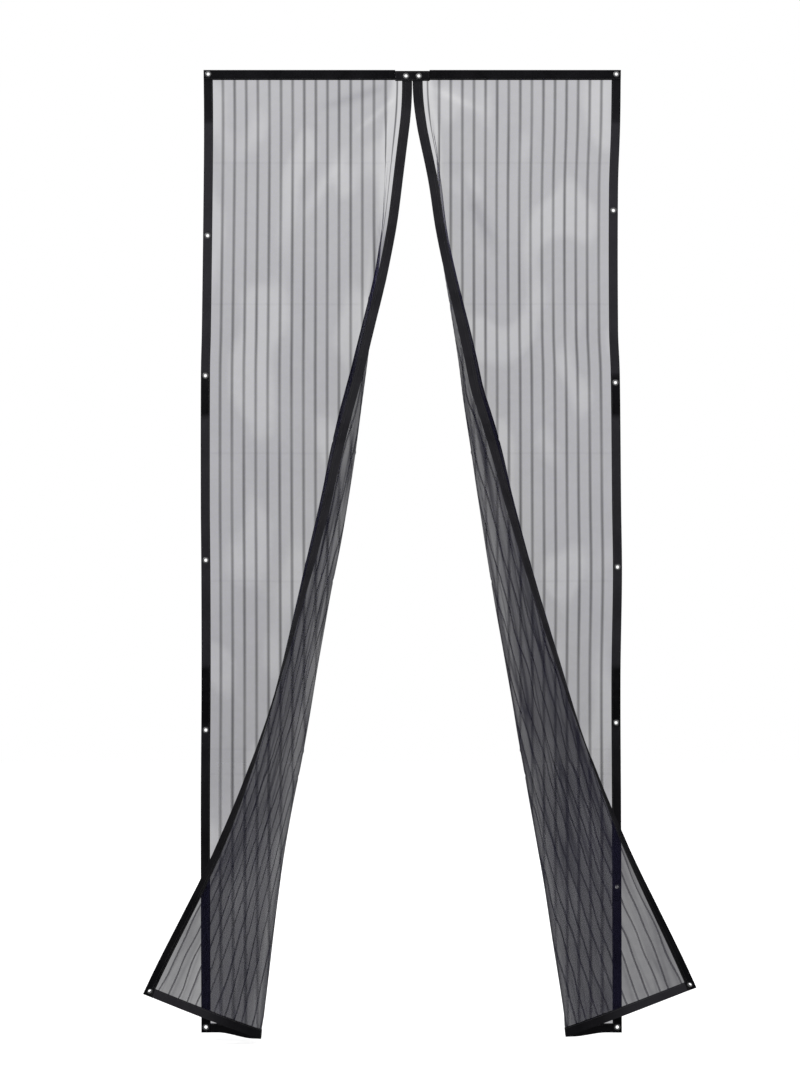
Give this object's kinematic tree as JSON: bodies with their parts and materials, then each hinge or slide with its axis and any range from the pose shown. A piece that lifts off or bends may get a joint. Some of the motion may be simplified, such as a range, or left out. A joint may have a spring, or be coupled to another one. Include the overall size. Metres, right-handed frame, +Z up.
{
  "type": "magnetic insect screen",
  "caption": "Doorway screen of two striped net panels bound in black tape, joined at the top centre, with magnetic inner edges swung open and folded forwards.",
  "frame": {"origin": "on the back face of the centre join, in the middle of that tape", "axes": "+X towards the viewer's right, +Y backwards into the door frame, +Z up"},
  "size_m": [1.1791, 0.25, 2.1137],
  "materials": {
    "net": "fine open polyester mesh with woven vertical stripes",
    "binding_tape": "matt black woven binding tape, stitched",
    "eyelet": "black enamelled metal",
    "magnet": "dark grey ferrite bar"
  },
  "bodies": {
    "root": {"centre_join": "binding_tape", "net_left": "net", "header_tape_left": "binding_tape", "side_tape_left": "binding_tape", "hem_tape_left": "binding_tape", "magnet_sleeve_left": "binding_tape", "magnet_left_1": "magnet", "magnet_left_2": "magnet", "magnet_left_3": "magnet", "magnet_left_4": "magnet", "magnet_left_5": "magnet", "magnet_left_6": "magnet", "magnet_left_7": "magnet", "magnet_left_8": "magnet", "magnet_left_9": "magnet", "magnet_left_10": "magnet", "magnet_left_11": "magnet", "magnet_left_12": "magnet", "magnet_left_13": "magnet", "magnet_left_14": "magnet", "eyelet_left_1": "eyelet", "eyelet_left_2": "eyelet", "eyelet_left_3": "eyelet", "eyelet_left_4": "eyelet", "eyelet_left_5": "eyelet", "eyelet_left_6": "eyelet", "eyelet_left_7": "eyelet", "eyelet_left_centre": "eyelet", "eyelet_left_corner": "eyelet", "net_right": "net", "header_tape_right": "binding_tape", "side_tape_right": "binding_tape", "hem_tape_right": "binding_tape", "magnet_sleeve_right": "binding_tape", "magnet_right_1": "magnet", "magnet_right_2": "magnet", "magnet_right_3": "magnet", "magnet_right_4": "magnet", "magnet_right_5": "magnet", "magnet_right_6": "magnet", "magnet_right_7": "magnet", "magnet_right_8": "magnet", "magnet_right_9": "magnet", "magnet_right_10": "magnet", "magnet_right_11": "magnet", "magnet_right_12": "magnet", "magnet_right_13": "magnet", "magnet_right_14": "magnet", "eyelet_right_1": "eyelet", "eyelet_right_2": "eyelet", "eyelet_right_3": "eyelet", "eyelet_right_4": "eyelet", "eyelet_right_5": "eyelet", "eyelet_right_6": "eyelet", "eyelet_right_7": "eyelet", "eyelet_right_centre": "eyelet", "eyelet_right_corner": "eyelet"}
  },
  "joints": []
}
